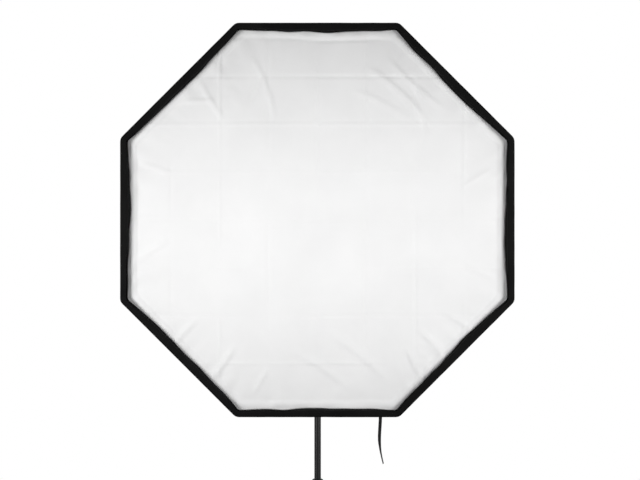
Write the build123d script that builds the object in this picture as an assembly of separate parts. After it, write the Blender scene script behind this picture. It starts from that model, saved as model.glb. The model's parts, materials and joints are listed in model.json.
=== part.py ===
from build123d import *
import os
from math import acos, atan, cos, pi, radians, sin

# Octagonal studio softbox on a tilting flash bracket and a three-leg telescopic stand.
#
# Millimetres, +Z up. The softbox faces -Y. The origin is on the floor, under the middle of the
# object's footprint. Everything is built in stand coordinates, with the column on the Z axis, and
# is moved along Y at the end. Softbox parts are built in box coordinates: +Z forward along the
# lamp axis from the speed ring's plane, +Y up, +X to the right of someone who looks at the front.

# --- softbox -------------------------------------------------------------------------------
SIDES = 8
ACROSS_FLATS = 1200.0  # over the front edge, flat to flat
BOX_DEPTH = 430.0  # speed ring plane to front edge
RIM_SLOPE = 30.0  # angle between the shell and the lamp axis at the front edge
SHELL_T = 1.2  # shell cloth with its silver lining
REAR_AT = 12.0  # rear edge of the shell, forward of the ring plane
CUFF_DEPTH = 9.0
BINDING_WIDTH = 20.0
BINDING_DEPTH = 12.0
LIP_GAP = 8.2  # shell lining to lip flap, which holds the rod tips
LIP_T = 1.4
LIP_DEPTH = 46.0
DIFFUSER_RECESS = 20.0  # front edge to the diffuser's face
DIFFUSER_T = 1.0
DIFFUSER_GAP = 0.5
BAFFLE_AT = 225.0
BAFFLE_FLATS = 640.0
BAFFLE_T = 1.0
BAND_WIDTH = 12.0
BAND_T = 1.2
ROD_D = 4.0
ROD_TIP_AT = 17.0  # front edge to the rod's end
ROD_ROOT_INSET = 10.2  # shell lining to rod centre at the ring
ROD_MID_INSET = 6.0
TIP_CAP_D = 6.6
TIP_CAP_LENGTH = 22.0
TIP_CAP_CLEARANCE = 0.3
TIP_CAP_BEYOND = 3.0
STRAP_WIDTH = 12.0
STRAP_T = 1.4
STRAP_LENGTH = 305.0
STRAP_AT = 250.0  # sewn to a seam this far forward of the ring plane

# --- speed ring and its bayonet insert -------------------------------------------------------
RING_BORE_R = 73.0
RING_R = 86.0
REAR_HALF = RING_R + 6.0  # centre to flat of the shell's rear opening
RING_BACK = -12.0
RING_FRONT = 24.0
SOCKET_R = 5.0
SOCKET_LENGTH = 26.0
ROD_CLEARANCE = 0.05
INSERT_R = 72.95
INSERT_BORE_R = 62.0
FLANGE_R = 80.0
FLANGE_T = 3.0
FACE_GAP = 0.3
SKIRT_R = 66.0
LUG_R = 71.0
LUG_T = 8.0
LUGS = 3
LUG_ANGLE = 30.0
LOCK_SCREW_R = 3.0
LOCK_KNOB_IN = RING_R + 3.0  # lamp axis to the near end of the screw's knob

# --- flash bracket ---------------------------------------------------------------------------
BRACKET_BORE_R = 71.6
BRACKET_R = 88.0
BRACKET_FRONT = -18.0
BRACKET_BACK = -40.0
CATCH_R = 66.5  # bore of the flange that the bayonet lugs hook behind
CATCH_T = 7.0
CATCH_INSET = 4.0  # bracket's front face to the catch flange
BLOCK_HALF = 22.0
BLOCK_TOP = -80.0
BLOCK_BOTTOM = -106.0
BLOCK_BACK = -76.0
UMBRELLA_R = 5.0
UMBRELLA_AT = -93.0
BED_T = 6.0
BED_HALF = 42.0
JAW_AT = -64.0
JAW_HALF_DEPTH = 12.0
JAW_HALF_GAP = 30.0
JAW_T = 12.0
PAD_T = 3.0
POST_R = 4.0
POST_X = 34.0
BRIDGE_AT = 58.0
BRIDGE_T = 12.0
CLAMP_SCREW_R = 3.0
CLAMP_KNOB_AT = 92.0
JAW_SLACK = 0.08
LATCH_R = 2.5
LATCH_BOSS_TOP = 92.0

# --- tilt joint --------------------------------------------------------------------------------
PIVOT_DROP = 126.0  # lamp axis to tilt axis
PIVOT_BEHIND = 49.0  # ring plane to tilt axis
EAR_R = 14.0
EAR_HALF = 7.0
CHEEK_T = 9.0
CHEEK_GAP = 0.4
TILT_BOLT_R = 4.0
TILT_LEVER = 30.0  # short enough to pass under the bayonet ring at every tilt
TILT_LEVER_OUT = 7.0  # cheek to the lever's arm, which clears the umbrella block
PIN_CLEARANCE = 0.06
SOCKET_TOP = -24.0  # below the tilt axis
SOCKET_DEPTH = 52.0
SPIGOT_R = 7.94
SPIGOT_CLEARANCE = 0.08
SPIGOT_WAIST_R = 6.5
SPIGOT_SCREW_R = 4.0
HEAD_SOCKET_R = 17.0

# --- stand -------------------------------------------------------------------------------------
LAMP_HEIGHT = 1795.0
BASE_TUBE_R = 15.0
MID_TUBE_R = 13.0
TOP_TUBE_R = 11.0
TUBE_WALL = 1.4
BASE_TUBE_TOP = 826.0
MID_TUBE_LENGTH = 760.0
MID_TUBE_OUT = 92.0  # bare length above the base tube
TOP_TUBE_LENGTH = 830.0
TUBE_CLEARANCE = 0.08
CLAMP_HEIGHT = 58.0
CLAMP_WALL = 6.0
CLAMP_ABOVE = 12.0  # clamp's upper end above its tube's end
CLAMP_BOSS = 9.0
CLAMP_SCREW_DROP = 14.0  # tube's end to the knob's axis
KNOB_STEM_R = 3.5
KNOB_GAP = 0.1
KNOB_R = 21.0
KNOB_T = 14.0
LEG_LENGTH = 640.0
HUB_PIVOT_Z = 62.5  # the braces' lower pivots above the floor
LEG_OPEN = 57.0  # leg's angle from the column, standing
LEG_ANGLES = (-90.0, 30.0, 150.0)
CHANNEL_HALF = 9.2  # inside half-width of the leg channel
CHANNEL_DEPTH = 16.0
CHANNEL_WALL = 1.5
BRACE_T = 3.0
BRACE_HALF = 6.0
HUB_R = BASE_TUBE_R + 6.0
LEG_PIVOT_R = HUB_R + 9.0
HUB_DROP = 22.5  # the braces' lower pivots to the base tube's end
HUB_LUG_HALF = 5.2
RUNNER_LUG_HALF = 8.6
PIN_R = 3.0
FOOT_LIFT = 8.0  # leg's end above the floor
WEB_START = 32.0  # upper pivot to the start of the channel's web
EAR_TALL = 8.0
RUNNER_KNOB_UP = 21.0  # leg pivots to the runner's knob
RUNNER_BOSS = 7.0

# --- worked out --------------------------------------------------------------------------------
HALF = ACROSS_FLATS / 2
CORNER = cos(pi / SIDES)
_mean = atan((HALF - REAR_HALF) / (BOX_DEPTH - REAR_AT))
PHI_FRONT = radians(RIM_SLOPE)
PHI_REAR = 2 * _mean - PHI_FRONT
SHELL_R = (HALF - REAR_HALF) / (cos(PHI_FRONT) - cos(PHI_REAR))
ARC_A = REAR_HALF - SHELL_R * cos(PHI_REAR)  # the shell's arc is centred here
ARC_V = REAR_AT + SHELL_R * sin(PHI_REAR)
LIP_OUT = SHELL_R - SHELL_T - LIP_GAP
DIFFUSER_AT = BOX_DEPTH - DIFFUSER_RECESS - DIFFUSER_T
THETA = radians(LEG_OPEN)
LEG_PIVOT_Z = FOOT_LIFT + LEG_LENGTH * cos(THETA)
LINK = (LEG_PIVOT_Z - HUB_PIVOT_Z) / (2 * cos(THETA))  # leg pivot to brace pin, and the brace
BASE_TUBE_BOTTOM = HUB_PIVOT_Z - HUB_DROP
MID_TUBE_TOP = BASE_TUBE_TOP + MID_TUBE_OUT
PIVOT_Z = LAMP_HEIGHT - PIVOT_DROP
CATCH_BACK = BRACKET_FRONT - CATCH_INSET - CATCH_T
LATCH_AT = CATCH_BACK - LUG_T / 2
LOCK_SCREW_AT = RING_BACK + 8.0
SPIGOT_SCREW_AT = SOCKET_TOP - SOCKET_DEPTH / 2  # below the tilt axis
SPIGOT_TOP = PIVOT_Z + SOCKET_TOP - 2.0
COLLAR_KNOB_Z = LEG_PIVOT_Z + RUNNER_KNOB_UP
BRACE_IN = HUB_LUG_HALF + CHEEK_GAP  # inner face of a brace strip
HUB_PIN_HALF = BRACE_IN + BRACE_T + 0.3
CHANNEL_OUT = CHANNEL_HALF + CHANNEL_WALL
SHOULDER_TOP = PIVOT_Z + SOCKET_TOP - SOCKET_DEPTH - 0.05
TOP_TUBE_TOP = SHOULDER_TOP - 4.0
BOX_PLACE = Location((0, -PIVOT_BEHIND, LAMP_HEIGHT), (90, 0, 0))
MID_ANGLES = [360 / SIDES * i for i in range(SIDES)]
CORNER_ANGLES = [a + 180 / SIDES for a in MID_ANGLES]


def cylinder(radius, low, high, bore=0.0):
    """An upright tube or bar from height low to high."""
    solid = Pos(0, 0, (low + high) / 2) * Cylinder(radius, high - low)
    if bore:
        solid -= Pos(0, 0, (low + high) / 2) * Cylinder(bore, high - low + 2)
    return solid


def block(low, high):
    """A box from its lowest corner to its highest."""
    size = [b - a for a, b in zip(low, high)]
    centre = [(a + b) / 2 for a, b in zip(low, high)]
    return Pos(*centre) * Box(*size)


def group(solids):
    """Separate solids in one node."""
    return Compound(children=list(solids))


def turned(solid, angles):
    """Copies of a solid, turned about the Z axis."""
    return [Rot(0, 0, a) * solid for a in angles]


def at_angle_v(radius, v):
    """The arc angle at which a concentric arc of that radius passes depth v."""
    return pi / 2 - acos((ARC_V - v) / radius)


def on_arc(radius, phi):
    """A point of a concentric arc, as (distance from the lamp axis to the flat, depth)."""
    return ARC_A + radius * cos(phi), ARC_V - radius * sin(phi)


def wedge():
    """The slice of the box that one side fills."""
    reach = HALF * 1.2
    side = reach * sin(pi / SIDES) / CORNER
    outline = Polyline((0, 0), (reach, -side), (reach, side), close=True)
    return Pos(0, 0, -BOX_DEPTH) * extrude(make_face(outline), 3 * BOX_DEPTH)


def curved_side(outer, inner, phi_rear, phi_front):
    """One side of a ring of curved sheet, between two concentric arcs."""
    mid = (phi_rear + phi_front) / 2
    rear_out, mid_out, front_out = (on_arc(outer, p) for p in (phi_rear, mid, phi_front))
    rear_in, mid_in, front_in = (on_arc(inner, p) for p in (phi_rear, mid, phi_front))
    outline = [
        ThreePointArc(rear_out, mid_out, front_out),
        Line(front_out, front_in),
        ThreePointArc(front_in, mid_in, rear_in),
        Line(rear_in, rear_out),
    ]
    face = Plane.XZ * make_face(outline)
    sheet = extrude(face, HALF, both=True)
    return sheet & wedge()


def straight_side(outer, inner, low, high):
    """One side of a straight octagonal ring between two depths."""
    return block((inner, -HALF, low), (outer, HALF, high)) & wedge()


# --- softbox -------------------------------------------------------------------------------
def panels():
    """Eight curved cloth panels, sewn to each other along the corners."""
    front = at_angle_v(SHELL_R - SHELL_T, BOX_DEPTH - BINDING_DEPTH)
    side = curved_side(SHELL_R, SHELL_R - SHELL_T, PHI_REAR, front)
    return {f"shell_panel_{i + 1}": Rot(0, 0, a) * side for i, a in enumerate(MID_ANGLES)}


def front_binding():
    side = straight_side(HALF, HALF - BINDING_WIDTH, BOX_DEPTH - BINDING_DEPTH, BOX_DEPTH)
    return group(turned(side, MID_ANGLES))


def lip_flap():
    """The inner flap behind the binding, which the diffuser is fastened to."""
    front = at_angle_v(LIP_OUT - LIP_T, BOX_DEPTH - BINDING_DEPTH)
    rear = at_angle_v(LIP_OUT, BOX_DEPTH - LIP_DEPTH)
    return group(turned(curved_side(LIP_OUT, LIP_OUT - LIP_T, rear, front), MID_ANGLES))


def octagon_sheet(half, low, thickness):
    sheet = Pos(0, 0, low) * extrude(RegularPolygon(half, SIDES, major_radius=False), thickness)
    return Rot(0, 0, 180 / SIDES) * sheet


def front_diffuser():
    inner = LIP_OUT - LIP_T
    half = on_arc(inner, at_angle_v(inner, DIFFUSER_AT))[0] - DIFFUSER_GAP
    return octagon_sheet(half, DIFFUSER_AT, DIFFUSER_T)


def inner_baffle():
    return octagon_sheet(BAFFLE_FLATS / 2, BAFFLE_AT, BAFFLE_T)


def rod_points():
    """Root, middle and tip of a rod's bowed stretch, as (distance from the lamp axis, depth)."""
    tip_inset = SHELL_T + LIP_GAP / 2
    insets = (SHELL_T + ROD_ROOT_INSET, SHELL_T + ROD_MID_INSET, tip_inset)
    tip_phi = at_angle_v(SHELL_R - tip_inset, BOX_DEPTH - ROD_TIP_AT)
    phis = (PHI_REAR - radians(0.6), (PHI_REAR + tip_phi) / 2, tip_phi)
    points = [on_arc(SHELL_R - inset, phi) for inset, phi in zip(insets, phis)]
    return [(a / CORNER, v) for a, v in points]


def rod_path():
    """The rod's centre line: straight inside its socket, then one bow to the tip."""
    root, mid, tip = rod_points()
    bow = ThreePointArc(*[(u, 0, v) for u, v in (root, mid, tip)])
    back = bow.tangent_at(0)
    start = bow.position_at(0) - back * SOCKET_LENGTH
    return start, back, Line(start, bow.position_at(0)), bow


def rods():
    start, along, straight, bow = rod_path()
    section = Plane(start, z_dir=along) * Circle(ROD_D / 2)
    rod = sweep(section, Wire([straight, bow]))
    return group(turned(rod, CORNER_ANGLES))


def rod_tip_caps():
    """Moulded caps that keep the rod tips from wearing through the corners."""
    _, _, _, bow = rod_path()
    tip, along = bow.position_at(1), bow.tangent_at(1)
    middle = Plane(tip - along * (TIP_CAP_LENGTH / 2 - TIP_CAP_BEYOND), z_dir=along)
    cap = middle * Cylinder(TIP_CAP_D / 2, TIP_CAP_LENGTH)
    hole = Plane(tip - along * TIP_CAP_LENGTH / 2, z_dir=along)
    cap -= hole * Cylinder(ROD_D / 2 + TIP_CAP_CLEARANCE, TIP_CAP_LENGTH)
    return group(turned(cap, CORNER_ANGLES))


def baffle_bands():
    """Elastic bands from the baffle's corners to a ring round each rod."""
    _, _, _, bow = rod_path()
    corner = BAFFLE_FLATS / 2 / CORNER
    hang_at = BAFFLE_AT + BAFFLE_T + BAND_T / 2
    reach = min((bow.position_at(t / 50) for t in range(51)), key=lambda p: abs(p.Z - hang_at)).X
    band = block(
        (corner - 22.0, -BAND_WIDTH / 2, BAFFLE_AT + BAFFLE_T),
        (reach - ROD_D - 2.0, BAND_WIDTH / 2, BAFFLE_AT + BAFFLE_T + BAND_T),
    )
    return group(turned(band, CORNER_ANGLES))


def rear_cuff():
    """A short cloth sleeve that closes the shell round the speed ring."""
    side = straight_side(REAR_HALF, REAR_HALF - SHELL_T, REAR_AT - CUFF_DEPTH, REAR_AT)
    return group(turned(side, MID_ANGLES))


def tie_strap():
    """A webbing tie, sewn to a lower seam by its hem. It hangs straight down."""
    phi = at_angle_v(SHELL_R, STRAP_AT)
    a, v = on_arc(SHELL_R, phi)
    side = a * sin(pi / SIDES) / CORNER
    top = -a
    low = top - STRAP_LENGTH
    return block(
        (side - STRAP_WIDTH / 2 - 1.0, low, v - STRAP_T / 2),
        (side + STRAP_WIDTH / 2 - 1.0, top - 1.0, v + STRAP_T / 2),
    )


# --- speed ring ------------------------------------------------------------------------------
def speed_ring():
    """The turning ring, with a socket for each rod."""
    start, along, _, _ = rod_path()
    ring = cylinder(RING_R, RING_BACK, RING_FRONT, RING_BORE_R)
    middle = Plane(start + along * SOCKET_LENGTH / 2, z_dir=along)
    socket = middle * Cylinder(SOCKET_R, SOCKET_LENGTH)
    hole = middle * Cylinder(ROD_D / 2 + ROD_CLEARANCE, 2 * SOCKET_LENGTH)
    for angle in CORNER_ANGLES:
        ring += Rot(0, 0, angle) * socket
    for angle in CORNER_ANGLES:
        ring -= Rot(0, 0, angle) * hole
    ring -= cylinder(RING_BORE_R, RING_BACK - 1, RING_FRONT + 1)
    ring -= cylinder(FLANGE_R, RING_FRONT, RING_FRONT + 2 * FACE_GAP + FLANGE_T)
    return ring - lock_screw_hole()


def lock_screw_hole():
    length = 2 * (RING_R - RING_BORE_R + 7.0)
    hole = Cylinder(LOCK_SCREW_R + PIN_CLEARANCE, length)
    return Pos(-RING_R, 0, LOCK_SCREW_AT) * Rot(0, 90, 0) * hole


def rotation_lock_screw():
    """A thumb screw through the ring, which stops it turning on the insert."""
    stem = Pos(0, 0, (RING_BORE_R + 0.6 + LOCK_KNOB_IN) / 2) * Cylinder(
        LOCK_SCREW_R, LOCK_KNOB_IN - RING_BORE_R - 0.6
    )
    knob = Pos(0, 0, LOCK_KNOB_IN + 7.0) * fluted_knob(6.0, 14.0)
    return Pos(0, 0, LOCK_SCREW_AT) * Rot(0, -90, 0) * (stem + knob)


def bayonet_insert():
    """The insert that hooks into the bracket. The speed ring turns on it."""
    back = RING_BACK - FACE_GAP
    insert = cylinder(INSERT_R, back, RING_FRONT, INSERT_BORE_R)
    insert += cylinder(FLANGE_R, back - FLANGE_T, back, INSERT_BORE_R)
    insert += cylinder(SKIRT_R, BRACKET_BACK, back, INSERT_BORE_R)
    lug = cylinder(LUG_R, CATCH_BACK - LUG_T, CATCH_BACK, SKIRT_R - 1)
    slice_half = LUG_R * sin(radians(LUG_ANGLE / 2))
    lug &= block((0, -slice_half, -100), (200, slice_half, 100))
    for solid in turned(lug, [90 + 360 / LUGS * i for i in range(LUGS)]):
        insert += solid
    notch = Pos(0, SKIRT_R + 12.0, LATCH_AT) * Rot(90, 0, 0) * Cylinder(LATCH_R + 0.4, 20.0)
    return insert - notch


def retaining_ring():
    ring = cylinder(FLANGE_R, RING_FRONT + FACE_GAP, RING_FRONT + FACE_GAP + FLANGE_T, 66.0)
    for angle in (45, 135, 225, 315):
        ring -= Rot(0, 0, angle) * Pos(69.5, 0, RING_FRONT + 2) * Cylinder(1.8, 12)
    return ring


def retaining_screws():
    top = RING_FRONT + FACE_GAP + FLANGE_T
    screw = cylinder(1.7, RING_FRONT + FACE_GAP, top) + cylinder(3.0, top, top + 1.8)
    return group(turned(Pos(69.5, 0, 0) * screw, (45, 135, 225, 315)))


# --- flash bracket ---------------------------------------------------------------------------
def bracket_frame():
    """Bayonet ring, umbrella block, clamp bed and tilt lug, cast in one piece."""
    frame = cylinder(BRACKET_R, BRACKET_BACK, BRACKET_FRONT)
    frame += block((-BLOCK_HALF, BLOCK_BOTTOM, BLOCK_BACK), (BLOCK_HALF, BLOCK_TOP, BRACKET_FRONT))
    frame += block(
        (-BED_HALF, BLOCK_TOP, JAW_AT - JAW_HALF_DEPTH - 4.0),
        (BED_HALF, BLOCK_TOP + BED_T, JAW_AT + JAW_HALF_DEPTH + 4.0),
    )
    boss = Cylinder(7.0, LATCH_BOSS_TOP - BRACKET_BORE_R)
    frame += Pos(0, (LATCH_BOSS_TOP + BRACKET_BORE_R) / 2, LATCH_AT) * Rot(90, 0, 0) * boss
    frame += block(
        (-EAR_HALF, -PIVOT_DROP, -PIVOT_BEHIND - EAR_R),
        (EAR_HALF, BLOCK_BOTTOM + 1.0, -PIVOT_BEHIND + EAR_R),
    )
    across = Pos(0, -PIVOT_DROP, -PIVOT_BEHIND) * Rot(0, 90, 0)
    frame += across * Cylinder(EAR_R, 2 * EAR_HALF)
    frame -= across * Cylinder(TILT_BOLT_R + PIN_CLEARANCE, 40)
    frame -= cylinder(CATCH_R, BRACKET_BACK - 1, BRACKET_FRONT + 1)
    frame -= cylinder(BRACKET_BORE_R, BRACKET_BACK - 1, CATCH_BACK)
    frame -= cylinder(BRACKET_BORE_R, CATCH_BACK + CATCH_T, BRACKET_FRONT + 1)
    slot_half = LUG_R * sin(radians(LUG_ANGLE / 2)) + 1.5
    slot = block((0, -slot_half, CATCH_BACK - 1), (LUG_R, slot_half, BRACKET_FRONT + 1))
    for angle in [90 + 180 / LUGS + 360 / LUGS * i for i in range(LUGS)]:
        frame -= Rot(0, 0, angle) * slot
    radial = Pos(0, LATCH_BOSS_TOP, LATCH_AT) * Rot(90, 0, 0)
    frame -= radial * Cylinder(LATCH_R + PIN_CLEARANCE, 60)
    frame -= Pos(0, UMBRELLA_AT, (BLOCK_BACK + BRACKET_FRONT) / 2) * Cylinder(UMBRELLA_R, 200)
    for x in (-POST_X, POST_X):
        frame -= Pos(x, BLOCK_TOP, JAW_AT) * Rot(90, 0, 0) * Cylinder(POST_R, 40)
    return frame


def release_latch():
    """A sprung button whose pin locks the bayonet."""
    tip = SKIRT_R + 3.0
    cap_low = LATCH_BOSS_TOP + 0.05
    pin = Pos(0, 0, (tip + cap_low + 1.0) / 2) * Cylinder(LATCH_R, cap_low + 1.0 - tip)
    cap = Pos(0, 0, cap_low + 5.0) * fillet_rim(Cylinder(8.0, 10.0), 1.5)
    return Pos(0, 0, LATCH_AT) * Rot(-90, 0, 0) * (pin + cap)


def lower_jaw():
    base = block(
        (-28.0, BLOCK_TOP + BED_T, JAW_AT - JAW_HALF_DEPTH),
        (28.0, -JAW_HALF_GAP - PAD_T, JAW_AT + JAW_HALF_DEPTH),
    )
    return base


def jaw_pad(low):
    return block(
        (-28.0, low, JAW_AT - JAW_HALF_DEPTH), (28.0, low + PAD_T, JAW_AT + JAW_HALF_DEPTH)
    )


def guide_posts():
    top = BRIDGE_AT + BRIDGE_T
    post = Cylinder(POST_R, top - BLOCK_TOP)
    middle = (top + BLOCK_TOP) / 2
    return group([Pos(x, middle, JAW_AT) * Rot(90, 0, 0) * post for x in (-POST_X, POST_X)])


def crossbar(low, high, post_hole, screw_hole):
    """A bar across both guide posts."""
    bar = block((-BED_HALF, low, JAW_AT - JAW_HALF_DEPTH), (BED_HALF, high, JAW_AT + JAW_HALF_DEPTH))
    for x in (-POST_X, POST_X):
        bar -= Pos(x, (low + high) / 2, JAW_AT) * Rot(90, 0, 0) * Cylinder(post_hole, 60)
    if screw_hole:
        bar -= Pos(0, (low + high) / 2, JAW_AT) * Rot(90, 0, 0) * Cylinder(screw_hole, 60)
    return bar


def top_bridge():
    return crossbar(BRIDGE_AT, BRIDGE_AT + BRIDGE_T, POST_R, CLAMP_SCREW_R + PIN_CLEARANCE)


def upper_jaw():
    low = JAW_HALF_GAP + PAD_T
    return crossbar(low, low + JAW_T, POST_R + JAW_SLACK, 0)


def clamp_screw():
    """The screw that pushes the upper jaw down, with its knob."""
    low = JAW_HALF_GAP + PAD_T + JAW_T + 0.05
    screw = Pos(0, 0, (low + CLAMP_KNOB_AT) / 2) * Cylinder(CLAMP_SCREW_R, CLAMP_KNOB_AT - low)
    knob = Pos(0, 0, CLAMP_KNOB_AT + 9.0) * fluted_knob(17.0, 18.0)
    return Pos(0, 0, JAW_AT) * Rot(-90, 0, 0) * (screw + knob)


# --- knobs -----------------------------------------------------------------------------------
def fillet_rim(solid, radius):
    return fillet(solid.edges().filter_by(GeomType.CIRCLE), radius)


def fluted_knob(radius, height):
    """A knob along Z with finger grooves, centred on the origin."""
    knob = fillet_rim(Cylinder(radius, height), radius * 0.12)
    groove = Pos(radius * 1.12, 0, 0) * Cylinder(radius * 0.24, height + 2)
    for solid in turned(groove, [60 * i for i in range(6)]):
        knob -= solid
    return knob


def wing_knob(reach, width, height, hub_r, hub_height):
    """A T-shaped hand knob along Z. Its hub starts at the origin."""
    hub = Pos(0, 0, hub_height / 2) * Cylinder(hub_r, hub_height)
    wing = Pos(0, 0, hub_height - 2.0) * extrude(SlotOverall(2 * reach, width), height)
    wing = fillet(wing.edges().group_by(Axis.Z)[-1], width * 0.15)
    return hub + wing


# --- tilt joint --------------------------------------------------------------------------------
def tilt_knuckle():
    """Two cheeks round the bracket's ear, on a socket that turns on the spigot."""
    inner = EAR_HALF + CHEEK_GAP
    outer = inner + CHEEK_T
    floor_top = -EAR_R - 1.0
    cheek = Rot(0, 90, 0) * Cylinder(EAR_R, 2 * outer)
    cheek += block((-outer, -EAR_R, floor_top - 7.0), (outer, EAR_R, 0))
    cheek -= block((-inner, -EAR_R - 2, floor_top), (inner, EAR_R + 2, EAR_R + 2))
    bottom = SOCKET_TOP - SOCKET_DEPTH
    knuckle = cheek + cylinder(HEAD_SOCKET_R, bottom, floor_top - 1.0)
    knuckle -= cylinder(SPIGOT_R + SPIGOT_CLEARANCE, bottom - 1, SOCKET_TOP)
    knuckle -= Rot(0, 90, 0) * Cylinder(TILT_BOLT_R + PIN_CLEARANCE, 60)
    screw_hole = Rot(0, 90, 0) * Cylinder(SPIGOT_SCREW_R + PIN_CLEARANCE, 40)
    knuckle -= Pos(-20, 0, SPIGOT_SCREW_AT) * screw_hole
    return Pos(0, 0, PIVOT_Z) * knuckle


def tilt_bolt():
    """The tilt axis, with the handle that locks it."""
    outer = EAR_HALF + CHEEK_GAP + CHEEK_T + 0.05
    bolt = Cylinder(TILT_BOLT_R, 2 * outer)
    bolt += Pos(0, 0, -outer - 3.0) * Cylinder(8.0, 6.0)
    bolt += Pos(0, 0, outer + 8.0) * Cylinder(9.0, 16.0)
    arm = extrude(SlotCenterToCenter(TILT_LEVER, 13.0), 9.0)
    bolt += Pos(TILT_LEVER / 2, 0, outer + TILT_LEVER_OUT) * arm
    return Pos(0, 0, PIVOT_Z) * Rot(0, 90, 0) * bolt


def spigot_lock_screw():
    stem = Pos(0, 0, (SPIGOT_WAIST_R + 0.3 + 24.0) / 2) * Cylinder(
        SPIGOT_SCREW_R, 24.0 - SPIGOT_WAIST_R - 0.3
    )
    knob = Pos(0, 0, 21.0) * wing_knob(19.0, 11.0, 8.0, 8.0, 10.0)
    return Pos(0, 0, PIVOT_Z + SPIGOT_SCREW_AT) * Rot(0, -90, 0) * (stem + knob)


# --- stand ---------------------------------------------------------------------------------------
def spigot():
    """The stud on top of the stand, with its plug in the top tube."""
    stud = cylinder(SPIGOT_R, SHOULDER_TOP, SPIGOT_TOP)
    waist = PIVOT_Z + SPIGOT_SCREW_AT
    stud -= cylinder(SPIGOT_R + 1, waist - 6.0, waist + 6.0, SPIGOT_WAIST_R)
    stud += cylinder(TOP_TUBE_R, TOP_TUBE_TOP, SHOULDER_TOP)
    return stud + cylinder(TOP_TUBE_R - TUBE_WALL, TOP_TUBE_TOP - 30.0, TOP_TUBE_TOP)


def top_tube():
    return cylinder(TOP_TUBE_R, TOP_TUBE_TOP - TOP_TUBE_LENGTH, TOP_TUBE_TOP, TOP_TUBE_R - TUBE_WALL)


def mid_tube():
    return cylinder(MID_TUBE_R, MID_TUBE_TOP - MID_TUBE_LENGTH, MID_TUBE_TOP, MID_TUBE_R - TUBE_WALL)


def base_tube():
    return cylinder(BASE_TUBE_R, BASE_TUBE_BOTTOM, BASE_TUBE_TOP, BASE_TUBE_R - TUBE_WALL)


def base_tube_plug():
    plug = cylinder(BASE_TUBE_R - TUBE_WALL, BASE_TUBE_BOTTOM, BASE_TUBE_BOTTOM + 14.0)
    return plug + cylinder(BASE_TUBE_R + 1.0, BASE_TUBE_BOTTOM - 4.0, BASE_TUBE_BOTTOM)


def tube_clamp(outer_tube_r, inner_tube_r, tube_top):
    """A clamp collar pressed on one tube. The next tube slides through its upper end."""
    radius = outer_tube_r + CLAMP_WALL
    low, high = tube_top + CLAMP_ABOVE - CLAMP_HEIGHT, tube_top + CLAMP_ABOVE
    clamp = chamfer(cylinder(radius, low, high).edges().filter_by(GeomType.CIRCLE), 3.0)
    middle = tube_top - CLAMP_SCREW_DROP
    clamp += block((0, -12.0, middle - 13.0), (radius + CLAMP_BOSS, 12.0, middle + 13.0))
    clamp -= cylinder(outer_tube_r, low - 1, tube_top)
    clamp -= cylinder(inner_tube_r + TUBE_CLEARANCE, tube_top - 1, high + 1)
    hole = Pos(outer_tube_r + 20.5, 0, middle) * Rot(0, 90, 0)
    return clamp - hole * Cylinder(KNOB_STEM_R + PIN_CLEARANCE, 40)


def collar_knob(near, face):
    """A T-knob whose screw tightens a collar, along +X. Its tip is at near, its hub at face."""
    near += 0.5
    face += KNOB_GAP
    stem = Pos(0, 0, (near + face + 3.0) / 2) * Cylinder(KNOB_STEM_R, face + 3.0 - near)
    knob = Pos(0, 0, face) * wing_knob(KNOB_R, 15.0, KNOB_T, 9.0, 10.0)
    return Rot(0, 90, 0) * (stem + knob)


def clamp_knob(tube_r, tube_top):
    knob = collar_knob(tube_r, tube_r + CLAMP_WALL + CLAMP_BOSS)
    return Pos(0, 0, tube_top - CLAMP_SCREW_DROP) * knob


def ears(half, reach, pivot_z, hole_r):
    """Three ears that carry the leg pivots, standing out from a collar."""
    ear = block((0, -half, -EAR_TALL), (reach - EAR_TALL, half, EAR_TALL))
    ear += Pos(reach - EAR_TALL, 0, 0) * Rot(90, 0, 0) * Cylinder(EAR_TALL, 2 * half)
    ear -= Pos(LEG_PIVOT_R, 0, 0) * Rot(90, 0, 0) * Cylinder(hole_r, 60)
    return [Pos(0, 0, pivot_z) * solid for solid in turned(ear, LEG_ANGLES)]


def collar_with_ears(radius, low, high, bore, ear_list):
    collar = cylinder(radius, low, high)
    for ear in ear_list:
        collar += ear
    return collar - cylinder(bore, low - 20, high + 20)


def leg_collar():
    """The runner that the legs hang from."""
    pivots = ears(RUNNER_LUG_HALF, LEG_PIVOT_R + 8.0, LEG_PIVOT_Z, PIN_R + PIN_CLEARANCE)
    low, high = LEG_PIVOT_Z - 12.0, LEG_PIVOT_Z + 34.0
    bore = BASE_TUBE_R + TUBE_CLEARANCE
    collar = collar_with_ears(HUB_R, low, high, bore, pivots)
    boss = block((-12.0, 0, COLLAR_KNOB_Z - 10.0), (12.0, HUB_R + RUNNER_BOSS, COLLAR_KNOB_Z + 10.0))
    collar += boss - cylinder(bore, low, high)
    hole = Rot(90, 0, 0) * Cylinder(KNOB_STEM_R + PIN_CLEARANCE, 30)
    return collar - Pos(0, BASE_TUBE_R + 15.0, COLLAR_KNOB_Z) * hole


def leg_collar_knob():
    knob = collar_knob(BASE_TUBE_R, HUB_R + RUNNER_BOSS)
    return Pos(0, 0, COLLAR_KNOB_Z) * Rot(0, 0, 90) * knob


def lower_hub():
    """The fixed collar that the braces hinge on."""
    pivots = ears(HUB_LUG_HALF, LEG_PIVOT_R + 7.0, HUB_PIVOT_Z, PIN_R)
    return collar_with_ears(HUB_R, BASE_TUBE_BOTTOM, HUB_PIVOT_Z + 24.0, BASE_TUBE_R, pivots)


def hub_pins():
    pin = Pos(LEG_PIVOT_R, 0, HUB_PIVOT_Z) * Rot(90, 0, 0) * Cylinder(PIN_R, 2 * HUB_PIN_HALF)
    return group(turned(pin, LEG_ANGLES))


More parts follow.
